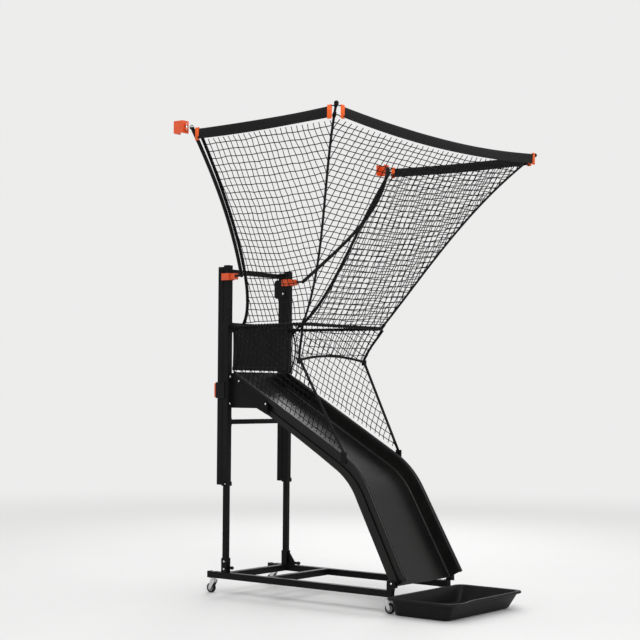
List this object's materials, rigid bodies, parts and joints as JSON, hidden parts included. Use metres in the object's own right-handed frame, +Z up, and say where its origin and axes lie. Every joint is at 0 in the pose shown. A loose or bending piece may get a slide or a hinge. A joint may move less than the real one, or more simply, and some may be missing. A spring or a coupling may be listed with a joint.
{
  "type": "basketball return machine",
  "caption": "Net funnel on bowed poles over a wheeled frame, with a curved chute that rolls balls down into a floor tray.",
  "frame": {"origin": "on the floor under the middle of the machine's box", "axes": "+Z up, -Y the front where the ball comes out, +X to the right seen from the front"},
  "size_m": [1.7994, 1.581, 2.372],
  "materials": {
    "frame_steel": "satin black powder coat",
    "black_plastic": "satin moulded",
    "orange_plastic": "satin moulded orange",
    "chute_plastic": "fine leather-grain moulding",
    "tray_plastic": "satin moulded",
    "bolt_zinc": "bright zinc",
    "caster_zinc": "bright zinc",
    "wheel_rubber": "matte",
    "pole_fibreglass": "satin",
    "tip_plastic": "satin moulded",
    "net_cord": "knotted nylon cord",
    "strap_webbing": "woven nylon webbing",
    "orange_webbing": "woven webbing",
    "panel_fabric": "coated woven fabric"
  },
  "bodies": {
    "base": {"side_rail_l": "frame_steel", "side_rail_r": "frame_steel", "rear_crossbar": "frame_steel", "mid_crossbar": "frame_steel", "rail_end_caps": "black_plastic", "foot_bracket_l": "frame_steel", "foot_bracket_r": "frame_steel", "inner_leg_l": "frame_steel", "inner_leg_r": "frame_steel", "outer_sleeve_l": "frame_steel", "outer_sleeve_r": "frame_steel", "sleeve_collars": "frame_steel", "sleeve_caps": "black_plastic", "chute_brace": "frame_steel", "mast_guides": "black_plastic", "ball_chute": "chute_plastic", "chute_side_plates": "frame_steel", "outlet_brackets": "frame_steel", "chute_bolts": "bolt_zinc", "frame_bolts": "bolt_zinc", "caster_mounts": "caster_zinc", "ball_arch": "frame_steel", "back_panel": "panel_fabric", "net_skirt": "net_cord"},
    "mast": {"mast_tube_l": "frame_steel", "mast_tube_r": "frame_steel", "mast_crossbar": "frame_steel", "mast_caps": "black_plastic", "net_hoop": "frame_steel", "mast_brackets": "frame_steel", "front_pole_l": "pole_fibreglass", "front_pole_r": "pole_fibreglass", "back_pole_l": "pole_fibreglass", "back_pole_r": "pole_fibreglass", "pole_tips": "tip_plastic", "pole_clip_l": "orange_plastic", "pole_clip_r": "orange_plastic", "net_side_l": "net_cord", "net_side_r": "net_cord", "net_front": "net_cord", "side_strap_l": "strap_webbing", "side_strap_r": "strap_webbing", "front_strap": "strap_webbing", "strap_tabs": "orange_webbing", "mast_fittings": "bolt_zinc"},
    "tray": {"ball_tray": "tray_plastic"},
    "pull_pin_l": {"pull_pin_l": "tip_plastic"},
    "mast_lock_l": {"mast_lock_l": "orange_plastic"},
    "board_clip_l": {"board_clip_l": "orange_plastic"},
    "fork_front_l": {"caster_fork_front_l": "caster_zinc"},
    "wheel_front_l": {"caster_wheel_front_l": "wheel_rubber"},
    "fork_rear_l": {"caster_fork_rear_l": "caster_zinc"},
    "wheel_rear_l": {"caster_wheel_rear_l": "wheel_rubber"},
    "pull_pin_r": {"pull_pin_r": "tip_plastic"},
    "mast_lock_r": {"mast_lock_r": "orange_plastic"},
    "board_clip_r": {"board_clip_r": "orange_plastic"},
    "fork_front_r": {"caster_fork_front_r": "caster_zinc"},
    "wheel_front_r": {"caster_wheel_front_r": "wheel_rubber"},
    "fork_rear_r": {"caster_fork_rear_r": "caster_zinc"},
    "wheel_rear_r": {"caster_wheel_rear_r": "wheel_rubber"}
  },
  "joints": [
    {"name": "mast_slide", "type": "slide", "parent": "base", "child": "mast", "axis": [0, 0, 1], "range_m": [0, 0.2], "deforming": ["net_skirt", "back_panel"]},
    {"name": "tray_slide", "type": "slide", "parent": "base", "child": "tray", "axis": [0, -1, 0], "range_m": [0, 0.25]},
    {"name": "pull_pin_l_slide", "type": "slide", "parent": "base", "child": "pull_pin_l", "axis": [0, -1, 0], "range_m": [0, 0.012], "stiffness_N_per_m": 300},
    {"name": "mast_lock_l_slide", "type": "slide", "parent": "base", "child": "mast_lock_l", "axis": [0, 1, 0], "range_m": [0, 0.012], "stiffness_N_per_m": 300},
    {"name": "board_clip_l_swing", "type": "hinge", "parent": "mast", "child": "board_clip_l", "pos_m": [-0.85, 0.4175, 2.342], "axis": [0, 0, 1], "range_deg": [-22, 22]},
    {"name": "swivel_front_l", "type": "hinge", "parent": "base", "child": "fork_front_l", "pos_m": [-0.251, -0.3695, 0.06], "axis": [0, 0, 1], "continuous": true},
    {"name": "roll_front_l", "type": "hinge", "parent": "fork_front_l", "child": "wheel_front_l", "pos_m": [-0.251, -0.3875, 0.026], "axis": [1, 0, 0], "continuous": true},
    {"name": "swivel_rear_l", "type": "hinge", "parent": "base", "child": "fork_rear_l", "pos_m": [-0.251, 0.7465, 0.06], "axis": [0, 0, 1], "continuous": true},
    {"name": "roll_rear_l", "type": "hinge", "parent": "fork_rear_l", "child": "wheel_rear_l", "pos_m": [-0.251, 0.7645, 0.026], "axis": [1, 0, 0], "continuous": true},
    {"name": "pull_pin_r_slide", "type": "slide", "parent": "base", "child": "pull_pin_r", "axis": [0, -1, 0], "range_m": [0, 0.012], "stiffness_N_per_m": 300},
    {"name": "mast_lock_r_slide", "type": "slide", "parent": "base", "child": "mast_lock_r", "axis": [0, 1, 0], "range_m": [0, 0.012], "stiffness_N_per_m": 300},
    {"name": "board_clip_r_swing", "type": "hinge", "parent": "mast", "child": "board_clip_r", "pos_m": [0.85, 0.4175, 2.342], "axis": [0, 0, 1], "range_deg": [-22, 22]},
    {"name": "swivel_front_r", "type": "hinge", "parent": "base", "child": "fork_front_r", "pos_m": [0.251, -0.3695, 0.06], "axis": [0, 0, 1], "continuous": true},
    {"name": "roll_front_r", "type": "hinge", "parent": "fork_front_r", "child": "wheel_front_r", "pos_m": [0.251, -0.3875, 0.026], "axis": [1, 0, 0], "continuous": true},
    {"name": "swivel_rear_r", "type": "hinge", "parent": "base", "child": "fork_rear_r", "pos_m": [0.251, 0.7465, 0.06], "axis": [0, 0, 1], "continuous": true},
    {"name": "roll_rear_r", "type": "hinge", "parent": "fork_rear_r", "child": "wheel_rear_r", "pos_m": [0.251, 0.7645, 0.026], "axis": [1, 0, 0], "continuous": true}
  ]
}
